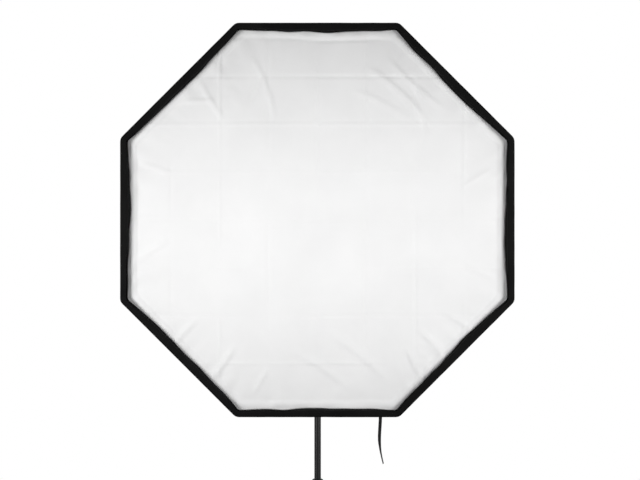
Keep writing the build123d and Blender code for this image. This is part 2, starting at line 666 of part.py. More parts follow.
def leg():
    """A U-channel leg, open on its under side, along +X from its upper pivot."""
    half = CHANNEL_DEPTH / 2
    channel = block((0, -CHANNEL_OUT, -half), (LEG_LENGTH, CHANNEL_OUT, half + CHANNEL_WALL))
    channel += Rot(90, 0, 0) * Cylinder(half, 2 * CHANNEL_OUT)
    channel -= block((-half - 1, -CHANNEL_HALF, -half - 1), (LEG_LENGTH + 1, CHANNEL_HALF, half))
    channel -= block((-half - 1, -CHANNEL_OUT - 1, half), (WEB_START, CHANNEL_OUT + 1, 2 * half))
    channel -= block((-half - 1, -CHANNEL_HALF, 0), (WEB_START, CHANNEL_HALF, 2 * half))
    for x in (0, LINK):
        channel -= Pos(x, 0, 0) * Rot(90, 0, 0) * Cylinder(PIN_R, 60)
    return channel


def leg_pins():
    """The brace pin, and the heads of the rivets at the leg's upper pivot."""
    pin = Cylinder(PIN_R, 2 * CHANNEL_OUT)
    head = Cylinder(PIN_R + 2.0, 2.0)
    brace_pin = pin + Pos(0, 0, CHANNEL_OUT + 1.0) * head + Pos(0, 0, -CHANNEL_OUT - 1.0) * head
    top = brace_pin - Cylinder(PIN_R + 1, 2 * CHANNEL_HALF)
    solids = [Pos(LINK, 0, 0) * Rot(90, 0, 0) * brace_pin, Rot(90, 0, 0) * top]
    return group([piece for solid in solids for piece in solid.solids()])


def foot():
    """A rubber cap on the leg's end, with its sole flat on the floor."""
    cap = block(
        (LEG_LENGTH - 34.0, -CHANNEL_OUT - 2.5, -CHANNEL_DEPTH / 2 - 3.0),
        (LEG_LENGTH + 12.0, CHANNEL_OUT + 2.5, CHANNEL_DEPTH / 2 + 4.5),
    )
    cap = fillet(cap.edges().filter_by(Axis.X), 2.0)
    return cap - leg()


def brace():
    strip = block((0, BRACE_IN, -BRACE_HALF), (LINK, BRACE_IN + BRACE_T, BRACE_HALF))
    for x in (0, LINK):
        middle = BRACE_IN + BRACE_T / 2
        strip += Pos(x, middle, 0) * Rot(90, 0, 0) * Cylinder(BRACE_HALF, BRACE_T)
    for x in (0, LINK):
        strip -= Pos(x, 0, 0) * Rot(90, 0, 0) * Cylinder(PIN_R + PIN_CLEARANCE, 60)
    return group([strip, mirror(strip, Plane.XZ)])


def leg_set():
    """Legs, braces, feet and pins as they stand open."""
    nodes = {}
    leg_place = Pos(LEG_PIVOT_R, 0, LEG_PIVOT_Z) * Rot(0, 90 - LEG_OPEN, 0)
    brace_place = Pos(LEG_PIVOT_R, 0, HUB_PIVOT_Z) * Rot(0, LEG_OPEN - 90, 0)
    above_floor = block((-HALF * 2, -HALF * 2, 0), (HALF * 2, HALF * 2, HALF))
    sole = (leg_place * foot()) & above_floor
    for i, angle in enumerate(LEG_ANGLES):
        nodes[f"leg_{i + 1}"] = Rot(0, 0, angle) * leg_place * leg()
        nodes[f"leg_pins_{i + 1}"] = Rot(0, 0, angle) * leg_place * leg_pins()
        nodes[f"foot_{i + 1}"] = Rot(0, 0, angle) * sole
        nodes[f"brace_{i + 1}"] = Rot(0, 0, angle) * brace_place * brace()
    return nodes


# --- assembly ------------------------------------------------------------------------------------
def box_nodes():
    """Everything that is built in box coordinates."""
    nodes = panels()
    nodes["front_binding"] = front_binding()
    nodes["lip_flap"] = lip_flap()
    nodes["front_diffuser"] = front_diffuser()
    nodes["inner_baffle"] = inner_baffle()
    nodes["baffle_bands"] = baffle_bands()
    nodes["rods"] = rods()
    nodes["rod_tip_caps"] = rod_tip_caps()
    nodes["rear_cuff"] = rear_cuff()
    nodes["tie_strap"] = tie_strap()
    nodes["speed_ring"] = speed_ring()
    nodes["rotation_lock_screw"] = rotation_lock_screw()
    nodes["bayonet_insert"] = bayonet_insert()
    nodes["retaining_ring"] = retaining_ring()
    nodes["retaining_screws"] = retaining_screws()
    nodes["bracket_frame"] = bracket_frame()
    nodes["release_latch"] = release_latch()
    nodes["lower_jaw"] = lower_jaw()
    nodes["lower_jaw_pad"] = jaw_pad(-JAW_HALF_GAP - PAD_T)
    nodes["guide_posts"] = guide_posts()
    nodes["top_bridge"] = top_bridge()
    nodes["upper_jaw"] = upper_jaw()
    nodes["upper_jaw_pad"] = jaw_pad(JAW_HALF_GAP)
    nodes["clamp_screw"] = clamp_screw()
    return {name: BOX_PLACE * solid for name, solid in nodes.items()}


def stand_nodes():
    """Everything that is built in stand coordinates."""
    nodes = leg_set()
    nodes["base_tube"] = base_tube()
    nodes["base_tube_plug"] = base_tube_plug()
    nodes["lower_hub"] = lower_hub()
    nodes["hub_pins"] = hub_pins()
    nodes["leg_collar"] = leg_collar()
    nodes["leg_collar_knob"] = leg_collar_knob()
    nodes["lower_clamp"] = tube_clamp(BASE_TUBE_R, MID_TUBE_R, BASE_TUBE_TOP)
    nodes["lower_clamp_knob"] = clamp_knob(BASE_TUBE_R, BASE_TUBE_TOP)
    nodes["mid_tube"] = mid_tube()
    nodes["upper_clamp"] = tube_clamp(MID_TUBE_R, TOP_TUBE_R, MID_TUBE_TOP)
    nodes["upper_clamp_knob"] = clamp_knob(MID_TUBE_R, MID_TUBE_TOP)
    nodes["top_tube"] = top_tube()
    nodes["spigot"] = spigot()
    nodes["tilt_knuckle"] = tilt_knuckle()
    nodes["tilt_bolt"] = tilt_bolt()
    nodes["spigot_lock_screw"] = spigot_lock_screw()
    return nodes


def build():
    """All nodes, moved so that the origin is under the middle of the footprint."""
    nodes = {**stand_nodes(), **box_nodes()}
    spans = [solid.bounding_box() for solid in nodes.values()]
    middle_x = (min(s.min.X for s in spans) + max(s.max.X for s in spans)) / 2
    middle_y = (min(s.min.Y for s in spans) + max(s.max.Y for s in spans)) / 2
    shift = Pos(-middle_x, -middle_y, 0)
    return {name: shift * solid for name, solid in nodes.items()}


def main():
    os.makedirs("parts", exist_ok=True)
    for name, solid in build().items():
        export_step(solid, f"parts/{name}.step")


if __name__ == "__main__":
    main()
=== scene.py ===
import json
import math

import bmesh
import bpy
import numpy as np
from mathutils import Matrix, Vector, noise


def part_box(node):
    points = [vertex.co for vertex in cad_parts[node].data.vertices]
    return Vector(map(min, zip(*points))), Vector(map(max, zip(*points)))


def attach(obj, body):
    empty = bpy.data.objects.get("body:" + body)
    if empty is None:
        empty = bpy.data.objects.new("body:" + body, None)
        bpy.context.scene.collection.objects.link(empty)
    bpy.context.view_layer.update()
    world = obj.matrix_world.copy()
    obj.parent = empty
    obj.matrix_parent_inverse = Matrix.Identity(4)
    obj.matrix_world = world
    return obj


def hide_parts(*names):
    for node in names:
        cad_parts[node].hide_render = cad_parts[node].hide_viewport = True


# Octagonal studio softbox on a stand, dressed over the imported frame. Metres, +Z up, front at -Y.
#
# Box coordinates are used for the soft parts: x to the right of someone who looks at the front,
# y up from the lamp axis, and depth forward from the speed ring's plane.

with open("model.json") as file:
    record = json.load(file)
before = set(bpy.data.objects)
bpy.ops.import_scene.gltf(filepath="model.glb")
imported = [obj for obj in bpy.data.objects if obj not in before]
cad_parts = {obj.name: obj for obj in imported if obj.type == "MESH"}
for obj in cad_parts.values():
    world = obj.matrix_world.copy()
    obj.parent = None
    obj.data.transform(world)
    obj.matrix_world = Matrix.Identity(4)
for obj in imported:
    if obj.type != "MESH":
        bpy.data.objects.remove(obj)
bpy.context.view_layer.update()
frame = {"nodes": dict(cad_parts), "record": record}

# --- sizes, as in the part ---------------------------------------------------------------------
BOX_DEPTH = 0.430
RIM_SLOPE = math.radians(30.0)
REAR_HALF = 0.092
REAR_AT = 0.012
BINDING_DEPTH = 0.012
DIFFUSER_RECESS = 0.020
BAFFLE_AT = 0.2255
STRAP_AT = 0.250
STRAP_WIDTH = 0.012
STRAP_LENGTH = 0.305
CORNER_R = 0.024

HALF_ANGLE = math.pi / 8
SIDES = 8

front_low, front_high = (Vector(c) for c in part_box("front_binding"))
HALF = (front_high.x - front_low.x) / 2
FRONT_Y = front_low.y
LAMP_Z = (front_low.z + front_high.z) / 2
RING_Y = FRONT_Y + BOX_DEPTH

_mean = math.atan((HALF - REAR_HALF) / (BOX_DEPTH - REAR_AT))
PHI_REAR = 2 * _mean - RIM_SLOPE
SHELL_R = (HALF - REAR_HALF) / (math.cos(RIM_SLOPE) - math.cos(PHI_REAR))
ARC_A = REAR_HALF - SHELL_R * math.cos(PHI_REAR)
ARC_V = REAR_AT + SHELL_R * math.sin(PHI_REAR)


def on_arc(radius, phi):
    """(apothem, depth) on a shell arc or on one inside it."""
    return ARC_A + radius * math.cos(phi), ARC_V - radius * math.sin(phi)


def phi_at(radius, depth):
    return math.asin((ARC_V - depth) / radius)


def place(x, y, depth):
    """Box coordinates to the row frame."""
    return (x, RING_Y - depth, LAMP_Z + y)


# --- camera --------------------------------------------------------------------------------------
CAMERA_DISTANCE = 4.5  # from the octagon's front edge
CAMERA_BELOW = 0.061  # below the lamp axis
CAMERA_ASIDE = 0.008
LENS = 83.25

camera_data = bpy.data.cameras.new("camera")
camera_data.lens = LENS
camera_data.sensor_width = 36.0
camera_data.clip_end = 60.0
camera = bpy.data.objects.new("camera", camera_data)
camera.location = (CAMERA_ASIDE, FRONT_Y - CAMERA_DISTANCE, LAMP_Z - CAMERA_BELOW)
camera.rotation_euler = (math.pi / 2, 0, 0)
bpy.context.collection.objects.link(camera)
bpy.context.scene.camera = camera


# --- shader nodes --------------------------------------------------------------------------------
class Shader:
    """A material's node tree, with short ways to add what the cloths and coatings need."""

    def __init__(self, name, **surface):
        self.material = bpy.data.materials.new(name)
        self.material.use_nodes = True
        self.tree = self.material.node_tree
        self.bsdf = self.tree.nodes["Principled BSDF"]
        for socket, value in surface.items():
            self.bsdf.inputs[socket.replace("_", " ")].default_value = value
        self.height = None

    def add(self, kind, **values):
        node = self.tree.nodes.new(kind)
        for key, value in values.items():
            if hasattr(node, key):
                setattr(node, key, value)
            else:
                node.inputs[key.replace("_", " ")].default_value = value
        return node

    def link(self, source, target):
        self.tree.links.new(source, target)

    def math(self, operation, a, b=None):
        node = self.add("ShaderNodeMath", operation=operation)
        for i, value in enumerate((a, b)):
            if value is None:
                continue
            if isinstance(value, (int, float)):
                node.inputs[i].default_value = value
            else:
                self.link(value, node.inputs[i])
        return node.outputs[0]

    def coords(self, uv=None):
        if uv:
            return self.add("ShaderNodeUVMap", uv_map=uv).outputs[0]
        return self.add("ShaderNodeTexCoord").outputs["Object"]

    def scaled(self, vector, scale):
        node = self.add("ShaderNodeMapping")
        node.inputs["Scale"].default_value = scale
        self.link(vector, node.inputs["Vector"])
        return node.outputs[0]

    def noise(self, vector, scale, detail=3.0, roughness=0.5):
        node = self.add("ShaderNodeTexNoise", Scale=scale, Detail=detail, Roughness=roughness)
        self.link(vector, node.inputs["Vector"])
        return node.outputs["Fac"]

    def wave(self, vector, period, direction, distortion=0.0):
        """Bands of that period in metres, from 0 to 1."""
        node = self.add("ShaderNodeTexWave", bands_direction=direction, wave_profile="SIN")
        node.inputs["Scale"].default_value = math.pi / 10 / period
        node.inputs["Distortion"].default_value = distortion
        self.link(vector, node.inputs["Vector"])
        return node.outputs["Fac"]

    def ramp(self, value, low, high, start=0.3, end=0.7):
        node = self.add("ShaderNodeValToRGB")
        node.color_ramp.elements[0].position = start
        node.color_ramp.elements[1].position = end
        node.color_ramp.elements[0].color = (*low, 1.0)
        node.color_ramp.elements[1].color = (*high, 1.0)
        self.link(value, node.inputs["Fac"])
        return node.outputs["Color"]

    def spread(self, value, low, high):
        """A 0 to 1 value mapped to low to high."""
        node = self.add("ShaderNodeMapRange")
        node.inputs["To Min"].default_value = low
        node.inputs["To Max"].default_value = high
        self.link(value, node.inputs["Value"])
        return node.outputs["Result"]

    def colour(self, value, low, high, start=0.3, end=0.7):
        self.link(self.ramp(value, low, high, start, end), self.bsdf.inputs["Base Color"])

    def rough(self, value, low, high):
        self.link(self.spread(value, low, high), self.bsdf.inputs["Roughness"])

    def bump(self, value, distance, strength=1.0):
        node = self.add("ShaderNodeBump", Strength=strength, Distance=distance)
        self.link(value, node.inputs["Height"])
        if self.height:
            self.link(self.height, node.inputs["Normal"])
        self.height = node.outputs["Normal"]
        self.link(self.height, self.bsdf.inputs["Normal"])


def grey(value, tint=0.0):
    return (value * (1 - tint), value, value * (1 + tint))


def woven_nylon(name, low, high, roughness=(0.5, 0.68), sheen=0.12, shine=0.3):
    """Coated nylon with a fine plain weave and a ripstop grid."""
    s = Shader(name, Sheen_Weight=sheen, Sheen_Roughness=0.45, Specular_IOR_Level=shine)
    uv = s.coords("cloth")
    pitch, ripstop = 0.0006, 0.005
    warp = s.wave(uv, pitch, "X")
    weft = s.wave(uv, pitch, "Y")
    weave = s.math("MULTIPLY", warp, weft)
    grid_x = s.math("POWER", s.wave(uv, ripstop, "X"), 24.0)
    grid_y = s.math("POWER", s.wave(uv, ripstop, "Y"), 24.0)
    grid = s.math("MAXIMUM", grid_x, grid_y)
    cloud = s.noise(s.coords(), 9.0, 4.0)
    s.colour(s.math("ADD", cloud, s.math("MULTIPLY", grid, 0.06)), low, high)
    s.rough(s.math("SUBTRACT", s.noise(s.coords(), 22.0), s.math("MULTIPLY", grid, 0.15)), *roughness)
    s.bump(weave, 0.00012, 0.5)
    s.bump(grid, 0.00025, 0.6)
    s.bump(s.noise(s.coords(), 60.0, 3.0), 0.0006, 0.35)
    return s.material


def silver_lining(name):
    """Aluminised cloth with a small pebbled emboss."""
    s = Shader(name, Metallic=0.85, Specular_IOR_Level=0.5)
    uv = s.coords("cloth")
    pebble = s.math("MULTIPLY", s.wave(uv, 0.0016, "X"), s.wave(uv, 0.0016, "Y"))
    s.colour(s.noise(s.coords(), 7.0), grey(0.62), grey(0.80))
    s.rough(s.noise(s.coords(), 35.0), 0.28, 0.42)
    s.bump(pebble, 0.0003, 0.7)
    s.bump(s.noise(s.coords(), 18.0, 4.0), 0.003, 0.35)
    return s.material


def white_nylon(name, low, high, transmission):
    """Thin white diffusion cloth with a close weave."""
    s = Shader(name, Roughness=0.75, Sheen_Weight=0.15, Sheen_Roughness=0.5)
    s.bsdf.inputs["Specular IOR Level"].default_value = 0.2
    s.bsdf.inputs["Transmission Weight"].default_value = transmission
    uv = s.coords("cloth")
    weave = s.math("MULTIPLY", s.wave(uv, 0.0007, "X"), s.wave(uv, 0.0007, "Y"))
    s.colour(s.noise(s.coords(), 6.0, 3.0), low, high)
    s.rough(s.noise(s.coords(), 30.0), 0.68, 0.82)
    s.bump(weave, 0.0001, 0.4)
    s.bump(s.noise(s.coords(), 14.0, 3.0), 0.0008, 0.25)
    return s.material


def webbing(name, low, high, pitch=0.0014):
    """Ribbed woven tape. Its ribs run across it."""
    s = Shader(name, Sheen_Weight=0.3, Sheen_Roughness=0.4, Specular_IOR_Level=0.3)
    uv = s.coords("cloth")
    ribs = s.wave(uv, pitch, "Y")
    cords = s.wave(uv, pitch * 1.3, "X")
    s.colour(s.math("MULTIPLY", ribs, s.noise(s.coords(), 40.0)), low, high, 0.1, 0.6)
    s.rough(ribs, 0.62, 0.8)
    s.bump(ribs, 0.0004, 0.7)
    s.bump(cords, 0.0003, 0.5)
    return s.material


def coated_metal(name, low, high, roughness=(0.32, 0.46)):
    """Satin black coat on aluminium, with faint drawing lines and rubbed patches."""
    s = Shader(name, Metallic=0.25, Specular_IOR_Level=0.5, Coat_Weight=0.15, Coat_Roughness=0.35)
    at = s.coords()
    rubbed = s.noise(s.scaled(at, (9.0, 9.0, 2.0)), 4.0, 6.0, 0.65)
    s.colour(rubbed, low, high, 0.45, 0.8)
    s.rough(s.noise(at, 26.0, 5.0), *roughness)
    s.bump(s.noise(s.scaled(at, (1.0, 1.0, 0.03)), 900.0, 2.0), 0.00006, 0.5)
    s.bump(s.noise(at, 700.0, 2.0), 0.00005, 0.4)
    return s.material


def bare_steel(name, low, high):
    s = Shader(name, Metallic=1.0, Anisotropic=0.4)
    at = s.coords()
    s.colour(s.noise(at, 30.0, 5.0), low, high)
    s.rough(s.noise(s.scaled(at, (1.0, 1.0, 0.05)), 260.0, 3.0), 0.2, 0.38)
    s.bump(s.noise(s.scaled(at, (1.0, 1.0, 0.02)), 1200.0, 2.0), 0.00004, 0.5)
    return s.material


def anodised(name, low, high):
    """Turned and black anodised aluminium."""
    s = Shader(name, Metallic=0.7, Specular_IOR_Level=0.5)
    at = s.coords()
    s.colour(s.noise(at, 14.0, 5.0), low, high)
    s.rough(s.noise(at, 60.0, 4.0), 0.3, 0.44)
    s.bump(s.wave(at, 0.0006, "Y", 0.4), 0.00004, 0.5)
    s.bump(s.noise(at, 900.0, 2.0), 0.00004, 0.4)
    return s.material


def moulded(name, low, high, grain=0.00025, roughness=(0.42, 0.58)):
    """Glass-filled nylon with a spark-eroded grain."""
    s = Shader(name, Specular_IOR_Level=0.45)
    at = s.coords()
    s.colour(s.noise(at, 25.0, 4.0), low, high)
    s.rough(s.noise(at, 120.0, 4.0), *roughness)
    s.bump(s.noise(at, 1400.0, 3.0), grain, 0.55)
    s.bump(s.noise(at, 60.0, 2.0), 0.0003, 0.2)
    return s.material


def rubber(name, low, high):
    s = Shader(name, Specular_IOR_Level=0.3)
    at = s.coords()
    s.colour(s.noise(at, 40.0, 5.0), low, high)
    s.rough(s.noise(at, 90.0, 4.0), 0.7, 0.88)
    s.bump(s.noise(at, 900.0, 4.0), 0.0003, 0.6)
    s.bump(s.wave(at, 0.003, "Z"), 0.0003, 0.3)
    return s.material


BLACK_NYLON = woven_nylon("black_nylon", grey(0.0055), grey(0.0105))
# The binding and lip are the shell's black nylon. Their darker base colour is painted shade on the front
# lip.
BINDING_NYLON_PAINTED_SHADE = woven_nylon("binding_nylon_painted_shade", grey(0.002), grey(0.005), (0.7, 0.85), 0.0, 0.12)
SILVER = silver_lining("silver_lining")
WHITE_CLOTH = white_nylon("white_nylon", grey(0.86), grey(0.90), 0.0)
HEM_CLOTH = white_nylon("hem_nylon", grey(0.88), grey(0.92), 0.0)
BAFFLE_CLOTH = white_nylon("baffle_nylon", grey(0.80), grey(0.86), 0.0)
STRAP_WEBBING = webbing("strap_webbing", grey(0.004), grey(0.014))
TAPE_WEBBING = webbing("tape_webbing", grey(0.005), grey(0.011), 0.0009)
ELASTIC = webbing("elastic_webbing", grey(0.55), grey(0.75), 0.0010)
THREAD = moulded("black_thread", grey(0.008), grey(0.016), 0.0001, (0.5, 0.7))
TUBE_COAT = coated_metal("tube_coat", grey(0.018), grey(0.032))
STEEL = bare_steel("bright_steel", grey(0.45), grey(0.62))
RING_ALLOY = anodised("ring_alloy", grey(0.018), grey(0.040))
NYLON = moulded("black_nylon_moulding", grey(0.011), grey(0.022))
KNOB_NYLON = moulded("knob_moulding", grey(0.008), grey(0.016), 0.0004, (0.5, 0.66))
CAST = moulded("cast_bracket_coat", grey(0.014), grey(0.026), 0.0005, (0.4, 0.55))
RUBBER = rubber("black_rubber", grey(0.010), grey(0.020))


# --- meshes --------------------------------------------------------------------------------------
def cloth_grid(name, points, uvs, closed=False, material=None):
    """A sheet through rows of points. Closed joins each row's end to its start."""
    rows, columns = len(points), len(points[0])
    vertices = [p for row in points for p in row]
    faces = []
    face_uvs = []
    last = columns if closed else columns - 1
    for i in range(rows - 1):
        for j in range(last):
            k = (j + 1) % columns
            corners = [(i, j, j), (i, k, j + 1), (i + 1, k, j + 1), (i + 1, j, j)]
            faces.append([r * columns + c for r, c, _ in corners])
            face_uvs.append([uvs(r, c) for r, _, c in corners])
    mesh = bpy.data.meshes.new(name)
    mesh.from_pydata(vertices, [], faces)
    layer = mesh.uv_layers.new(name="cloth")
    layer.data.foreach_set("uv", [v for face in face_uvs for uv in face for v in uv])
    mesh.polygons.foreach_set("use_smooth", [True] * len(faces))
    if material:
        mesh.materials.append(material)
    piece = bpy.data.objects.new(name, mesh)
    bpy.context.collection.objects.link(piece)
    return piece


def thicken(piece, thickness, offset=-1.0, second=None):
    """Gives cloth its thickness. The second material goes on the other face."""
    modifier = piece.modifiers.new("thickness", "SOLIDIFY")
    modifier.thickness = thickness
    modifier.offset = offset
    modifier.use_even_offset = False
    if second:
        piece.data.materials.append(second)
        modifier.material_offset = 1
    return piece


def finish_piece(piece, body, slot, *nodes):
    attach(piece, body)
    if nodes:
        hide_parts(*nodes)
    return piece


def octagon_radius(angle, apothem, corner_r):
    """Distance from the centre to a rounded octagon's outline, in that direction."""
    beta = (angle + HALF_ANGLE) % (2 * HALF_ANGLE) - HALF_ANGLE
    if abs(apothem * math.tan(beta)) <= (apothem - corner_r) * math.tan(HALF_ANGLE):
        return apothem / math.cos(beta)
    reach = (apothem - corner_r) / math.cos(HALF_ANGLE)
    gamma = HALF_ANGLE - abs(beta)
    return reach * math.cos(gamma) + math.sqrt(corner_r**2 - (reach * math.sin(gamma)) ** 2)


def side_angles(per_side):
    """Directions round the octagon, evenly spaced along each side, with more at the corners."""
    angles = []
    for side in range(SIDES):
        for i in range(per_side):
            t = 2 * i / per_side - 1
            t = math.sin(t * math.pi / 2) * 0.35 + t * 0.65
            beta = math.atan(t * math.tan(HALF_ANGLE))
            angles.append(side * 2 * HALF_ANGLE + beta)
    return angles


def ripple(position, scale, seed):
    """Smooth noise from -1 to 1 along a line."""
    return noise.noise(Vector((position * scale, seed * 7.31, seed * 1.7)))


def octagon_band(name, profile, wave, corner_r, per_side, material):
    """A closed band of cloth round the octagon. Each profile point is (apothem, depth)."""
    angles = side_angles(per_side)
    rows = []
    for k, (apothem, depth) in enumerate(profile):
        row = []
        for angle in angles:
            da, dv = wave(k, angle)
            r = octagon_radius(angle, apothem + da, corner_r)
            row.append(place(r * math.cos(angle), r * math.sin(angle), depth + dv))
        rows.append(row)
    along = [0.0]
    for (a0, v0), (a1, v1) in zip(profile, profile[1:]):
        along.append(along[-1] + math.hypot(a1 - a0, v1 - v0))
    around = 2 * SIDES * math.tan(HALF_ANGLE) * profile[0][0] / len(angles)
    return cloth_grid(name, rows, lambda r, c: (c * around, along[r]), True, material)


def stitches(name, points, out, length, width, material):
    """A row of stitches: one small rounded thread for each pair of points."""
    vertices, faces = [], []
    for (p, q), normal in zip(points, out):
        p, q, normal = Vector(p), Vector(q), Vector(normal).normalized()
        along = (q - p).normalized()
        side = along.cross(normal).normalized()
        middle = (p + q) / 2
        base = len(vertices)
        for step in (-1.0, -0.55, 0.55, 1.0):
            thick = width / 2 * (0.45 if abs(step) > 0.9 else 1.0)
            centre = middle + along * (length / 2 * step) - normal * (width * 0.3 * abs(step) ** 3)
            for k in range(6):
                turn = k * math.pi / 3
                vertices.append(centre + (side * math.cos(turn) + normal * math.sin(turn)) * thick)
        for ring in range(3):
            for k in range(6):
                a = base + ring * 6 + k
                b = base + ring * 6 + (k + 1) % 6
                faces.append((a, b, b + 6, a + 6))
        faces.append(tuple(base + k for k in reversed(range(6))))
        faces.append(tuple(base + 18 + k for k in range(6)))
    mesh = bpy.data.meshes.new(name)
    mesh.from_pydata([tuple(v) for v in vertices], [], faces)
    mesh.polygons.foreach_set("use_smooth", [True] * len(faces))
    mesh.materials.append(material)
    piece = bpy.data.objects.new(name, mesh)
    bpy.context.collection.objects.link(piece)
    return piece


# --- shell ---------------------------------------------------------------------------------------
PANEL_ROWS = 72
PANEL_COLUMNS = 44
PANEL_DIP = 0.006  # how far the stretched cloth pulls in between two rods
SEAM_PUCKER = 0.0011
PANEL_SLACK = 0.0016
PANEL_CREASE = 0.0007
RING_GATHER = 0.0012
CLOTH_INSET = 0.0004  # cloth's face inside the shell's outer face
PANEL_FRONT = phi_at(SHELL_R, BOX_DEPTH - BINDING_DEPTH + 0.004)


def shell_point(side, s, t, lift=0.0):
    """A point of the shell: s from the ring to the front, t from one seam to the next."""
    phi = PHI_REAR + (PANEL_FRONT - PHI_REAR) * s
    middle = math.sin(math.pi * min(1.0, s * 1.04)) ** 0.8 if s < 0.96 else 0.0
    dip = PANEL_DIP * middle * (1 - t * t)
    seam = 1 - abs(t)
    length = s * SHELL_R * (PHI_REAR - PANEL_FRONT)
    pucker = math.exp(-((seam / 0.10) ** 2)) * (1 - math.exp(-((seam / 0.02) ** 2)))
    wrinkle = SEAM_PUCKER * pucker * ripple(length, 70.0, side * 2 + (t > 0))
    slack = noise.noise(Vector((t * 2.2, length * 9.0, side * 3.7)))
    wrinkle += PANEL_SLACK * middle * seam * slack
    crease = noise.noise(Vector((t * 6.0 + length * 14.0, length * 5.0, side * 5.1 + 40)))
    wrinkle += PANEL_CREASE * middle * min(1.0, seam * 5) * (1 - abs(crease) * 3)
    gather = math.exp(-s / 0.05) * RING_GATHER * math.sin(t * 19 + side) * seam
    a, v = on_arc(SHELL_R - CLOTH_INSET - dip + wrinkle + gather + lift, phi)
    w = a * math.tan(HALF_ANGLE) * t
    turn = side * 2 * HALF_ANGLE
    x = a * math.cos(turn) - w * math.sin(turn)
    y = a * math.sin(turn) + w * math.cos(turn)
    return place(x, y, v)


PANEL_LENGTH = SHELL_R * (PHI_REAR - PANEL_FRONT)

for side in range(SIDES):
    rows = []
    for i in range(PANEL_ROWS + 1):
        s = i / PANEL_ROWS
        columns = [math.sin(math.pi / 2 * (2 * j / PANEL_COLUMNS - 1)) for j in range(PANEL_COLUMNS + 1)]
        columns = [0.5 * c + 0.5 * (2 * j / PANEL_COLUMNS - 1) for j, c in enumerate(columns)]
        rows.append([shell_point(side, s, t) for t in columns])

    def panel_uv(r, c):
        s = r / PANEL_ROWS
        a = on_arc(SHELL_R, PHI_REAR + (PANEL_FRONT - PHI_REAR) * s)[0]
        return ((2 * c / PANEL_COLUMNS - 1) * a * math.tan(HALF_ANGLE), s * PANEL_LENGTH)

    panel = cloth_grid(f"shell_cloth_{side + 1}", rows, panel_uv, material=BLACK_NYLON)
    thicken(panel, 0.0008, -1.0, SILVER)
    finish_piece(panel, "softbox", "shell_cloth", f"shell_panel_{side + 1}")

# --- seam tapes ----------------------------------------------------------------------------------
TAPE_HALF = 0.007
TAPE_ROWS = 110
STITCH_PITCH = 0.0042
STITCH_LENGTH = 0.0028
STITCH_WIDTH = 0.0007


def tape_point(seam, s, across, lift):
    """A point on the tape over a seam, across metres from the seam's line."""
    a = on_arc(SHELL_R, PHI_REAR + (PANEL_FRONT - PHI_REAR) * s)[0]
    t = abs(across) / (a * math.tan(HALF_ANGLE))
    side = seam if across <= 0 else (seam + 1) % SIDES
    return shell_point(side, s, (1 - t) if across <= 0 else (t - 1), lift)


stitch_pairs = []
stitch_outs = []
for seam in range(SIDES):
    steps = (-1.0, -0.93, -0.5, -0.12, 0.0, 0.12, 0.5, 0.93, 1.0)
    lifts = (0.0002, 0.0010, 0.0010, 0.0013, 0.0017, 0.0013, 0.0010, 0.0010, 0.0002)
    rows = []
    for i in range(TAPE_ROWS + 1):
        s = i / TAPE_ROWS
        sway = 0.0006 * ripple(s, 14.0, seam + 60)
        rows.append([tape_point(seam, s, k * TAPE_HALF + sway, h) for k, h in zip(steps, lifts)])
    tape = cloth_grid(
        f"seam_tape_{seam + 1}",
        rows,
        lambda r, c: (steps[c] * TAPE_HALF, r / TAPE_ROWS * PANEL_LENGTH),
        material=TAPE_WEBBING,
    )
    thicken(tape, 0.0008, -1.0)
    finish_piece(tape, "softbox", "shell_cloth")
    count = int(PANEL_LENGTH / STITCH_PITCH)
    outward = seam * 2 * HALF_ANGLE + HALF_ANGLE
    for edge in (-0.78, 0.78):
        for i in range(count):
            s = (i + 0.5) / count
            step = STITCH_LENGTH / PANEL_LENGTH / 2
            ends = [tape_point(seam, s + d, edge * TAPE_HALF, 0.0012) for d in (-step, step)]
            phi = PHI_REAR + (PANEL_FRONT - PHI_REAR) * s
            out = Vector((
                math.cos(phi) * math.cos(outward),
                math.sin(phi),
                math.cos(phi) * math.sin(outward),
            ))
            stitch_pairs.append(ends)
            stitch_outs.append(out)
seam_thread = stitches(
    "seam_thread", stitch_pairs, stitch_outs, STITCH_LENGTH, STITCH_WIDTH, THREAD
)
finish_piece(seam_thread, "softbox", "shell_cloth")

# --- front edge ----------------------------------------------------------------------------------
LIP_EDGE = 0.5762  # centre to flat where the diffuser meets the lip
DIFFUSER_DEPTH = BOX_DEPTH - DIFFUSER_RECESS - 0.0004


def lip_wave(angle):
    """How far the lip's cloth wanders in and out, less at the corners, where the rods hold it."""
    beta = (angle + HALF_ANGLE) % (2 * HALF_ANGLE) - HALF_ANGLE
    corner = (abs(beta) / HALF_ANGLE) ** 3
    at = Vector((math.cos(angle) * 3.1, math.sin(angle) * 3.1, 4.2))
    fine = Vector((math.cos(angle) * 9.0, math.sin(angle) * 9.0, 1.3))
    waves = 0.0062 * noise.noise(at) + 0.0040 * noise.noise(fine) - 0.0014
    return (1 - corner) * waves + 0.0056 * corner


def binding_wave(k, angle):
    inner = max(0.0, (k - 5) / 4)
    fine = Vector((math.cos(angle) * 14, math.sin(angle) * 14, k * 0.08))
    return inner * 0.5 * lip_wave(angle) + 0.0003 * noise.noise(fine), 0.0003 * noise.noise(fine * 1.7)


def lip_ripple(k, angle):
    follow = min(1.0, k / 2)
    deep = max(0.0, (k - 3) / 3)
    pleat = Vector((math.cos(angle) * 17, math.sin(angle) * 17, 8.0 + k * 0.2))
    out = follow * lip_wave(angle) + deep * 0.0035 * noise.noise(pleat)
    return out, deep * 0.002 * noise.noise(pleat * 0.6)


